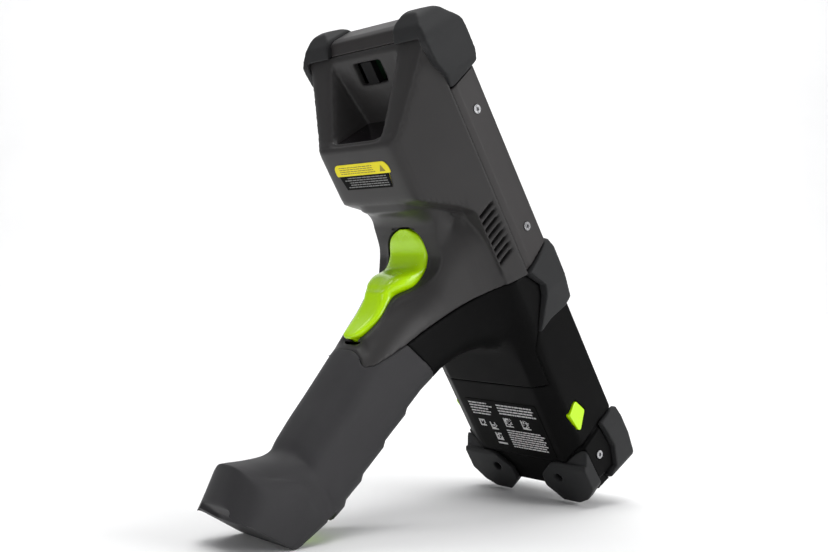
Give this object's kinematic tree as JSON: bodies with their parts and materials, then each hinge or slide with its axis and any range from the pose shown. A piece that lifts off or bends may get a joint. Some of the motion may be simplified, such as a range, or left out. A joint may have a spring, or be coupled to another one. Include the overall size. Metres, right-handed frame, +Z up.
{
  "type": "pistol-grip handheld scanner",
  "caption": "Rugged handheld computer with a head scanner, keypad, pistol grip and finger trigger, resting nose-up on its foot and tail.",
  "frame": {"origin": "middle of the bounding box's base, on the surface it stands on", "axes": "+X to the user's right, +Z up, display facing -Y and up, handle towards +Y; the device is pitched nose-up so that its foot and tail share the floor"},
  "size_m": [0.091, 0.2138, 0.2274],
  "materials": {
    "head_housing": "satin",
    "lower_housing": "satin",
    "rubber": "matte",
    "accent": "gloss",
    "caution": "satin",
    "label": "satin",
    "steel": "brushed",
    "glass": "gloss",
    "window": "gloss",
    "inner": "matte",
    "board": "satin",
    "contact": "polished",
    "key": "satin"
  },
  "bodies": {
    "device": {"front_housing": "head_housing", "rear_housing": "head_housing", "lower_housing": "lower_housing", "head_cap": "head_housing", "grip_overmould": "rubber", "grip_core": "inner", "foot_base": "rubber", "heel_insert": "accent", "panel_screws": "steel", "contact_block": "inner", "trigger_pin": "steel", "trigger_bracket": "inner", "trigger_spring": "steel", "trigger_switch": "inner", "touch_glass": "glass", "display_panel": "inner", "main_board": "board", "scan_engine": "inner", "scan_window": "window", "strap_bar": "inner", "speaker": "inner", "keypad_frame": "lower_housing", "keymat": "rubber", "caution_label": "caution", "rating_label": "label", "latch_springs": "steel", "side_panel_right": "head_housing", "side_panel_left": "head_housing", "head_bumper_right": "rubber", "head_bumper_left": "rubber", "waist_bumper_right": "rubber", "waist_bumper_left": "rubber"},
    "trigger": {"trigger": "accent"},
    "battery": {"battery_case": "inner", "battery_end_cap": "lower_housing", "battery_contacts": "contact", "cap_screws": "steel", "tail_bumper_top_left": "rubber", "tail_bumper_top_right": "rubber", "tail_bumper_bottom_left": "rubber", "tail_bumper_bottom_right": "rubber"},
    "latch_left": {"latch_left": "accent"},
    "latch_right": {"latch_right": "accent"},
    "key_scan": {"key_scan": "key"},
    "key_left_function": {"key_left_function": "key"},
    "key_navigation": {"key_navigation": "key"},
    "key_right_function": {"key_right_function": "key"},
    "key_1": {"key_1": "key"},
    "key_2": {"key_2": "key"},
    "key_3": {"key_3": "key"},
    "key_4": {"key_4": "key"},
    "key_5": {"key_5": "key"},
    "key_6": {"key_6": "key"},
    "key_7": {"key_7": "key"},
    "key_8": {"key_8": "key"},
    "key_9": {"key_9": "key"},
    "key_clear": {"key_clear": "key"},
    "key_0": {"key_0": "key"},
    "key_enter": {"key_enter": "key"}
  },
  "joints": [
    {"name": "trigger_pull", "type": "hinge", "parent": "device", "child": "trigger", "pos_m": [0, 0.00053, 0.12895], "axis": [-1, 0, 0], "range_deg": [0, 5], "stiffness_Nm_per_rad": 1.2, "springref_deg": -2.86},
    {"name": "battery_slide", "type": "slide", "parent": "device", "child": "battery", "axis": [0, -0.524, -0.8517], "range_m": [0, 0.1]},
    {"name": "latch_left_press", "type": "slide", "parent": "device", "child": "latch_left", "axis": [1, 0, 0], "range_m": [0, 0.002], "stiffness_N_per_m": 900, "springref_m": -0.001},
    {"name": "latch_right_press", "type": "slide", "parent": "device", "child": "latch_right", "axis": [-1, 0, 0], "range_m": [0, 0.002], "stiffness_N_per_m": 900, "springref_m": -0.001},
    {"name": "key_scan_press", "type": "slide", "parent": "device", "child": "key_scan", "axis": [0, 0.8517, -0.524], "range_m": [0, 0.0009], "stiffness_N_per_m": 800, "springref_m": -0.0006},
    {"name": "key_left_function_press", "type": "slide", "parent": "device", "child": "key_left_function", "axis": [0, 0.8517, -0.524], "range_m": [0, 0.0009], "stiffness_N_per_m": 800, "springref_m": -0.0006},
    {"name": "key_navigation_press", "type": "slide", "parent": "device", "child": "key_navigation", "axis": [0, 0.8517, -0.524], "range_m": [0, 0.0009], "stiffness_N_per_m": 800, "springref_m": -0.0006},
    {"name": "key_right_function_press", "type": "slide", "parent": "device", "child": "key_right_function", "axis": [0, 0.8517, -0.524], "range_m": [0, 0.0009], "stiffness_N_per_m": 800, "springref_m": -0.0006},
    {"name": "key_1_press", "type": "slide", "parent": "device", "child": "key_1", "axis": [0, 0.8517, -0.524], "range_m": [0, 0.0009], "stiffness_N_per_m": 800, "springref_m": -0.0006},
    {"name": "key_2_press", "type": "slide", "parent": "device", "child": "key_2", "axis": [0, 0.8517, -0.524], "range_m": [0, 0.0009], "stiffness_N_per_m": 800, "springref_m": -0.0006},
    {"name": "key_3_press", "type": "slide", "parent": "device", "child": "key_3", "axis": [0, 0.8517, -0.524], "range_m": [0, 0.0009], "stiffness_N_per_m": 800, "springref_m": -0.0006},
    {"name": "key_4_press", "type": "slide", "parent": "device", "child": "key_4", "axis": [0, 0.8517, -0.524], "range_m": [0, 0.0009], "stiffness_N_per_m": 800, "springref_m": -0.0006},
    {"name": "key_5_press", "type": "slide", "parent": "device", "child": "key_5", "axis": [0, 0.8517, -0.524], "range_m": [0, 0.0009], "stiffness_N_per_m": 800, "springref_m": -0.0006},
    {"name": "key_6_press", "type": "slide", "parent": "device", "child": "key_6", "axis": [0, 0.8517, -0.524], "range_m": [0, 0.0009], "stiffness_N_per_m": 800, "springref_m": -0.0006},
    {"name": "key_7_press", "type": "slide", "parent": "device", "child": "key_7", "axis": [0, 0.8517, -0.524], "range_m": [0, 0.0009], "stiffness_N_per_m": 800, "springref_m": -0.0006},
    {"name": "key_8_press", "type": "slide", "parent": "device", "child": "key_8", "axis": [0, 0.8517, -0.524], "range_m": [0, 0.0009], "stiffness_N_per_m": 800, "springref_m": -0.0006},
    {"name": "key_9_press", "type": "slide", "parent": "device", "child": "key_9", "axis": [0, 0.8517, -0.524], "range_m": [0, 0.0009], "stiffness_N_per_m": 800, "springref_m": -0.0006},
    {"name": "key_clear_press", "type": "slide", "parent": "device", "child": "key_clear", "axis": [0, 0.8517, -0.524], "range_m": [0, 0.0009], "stiffness_N_per_m": 800, "springref_m": -0.0006},
    {"name": "key_0_press", "type": "slide", "parent": "device", "child": "key_0", "axis": [0, 0.8517, -0.524], "range_m": [0, 0.0009], "stiffness_N_per_m": 800, "springref_m": -0.0006},
    {"name": "key_enter_press", "type": "slide", "parent": "device", "child": "key_enter", "axis": [0, 0.8517, -0.524], "range_m": [0, 0.0009], "stiffness_N_per_m": 800, "springref_m": -0.0006}
  ]
}
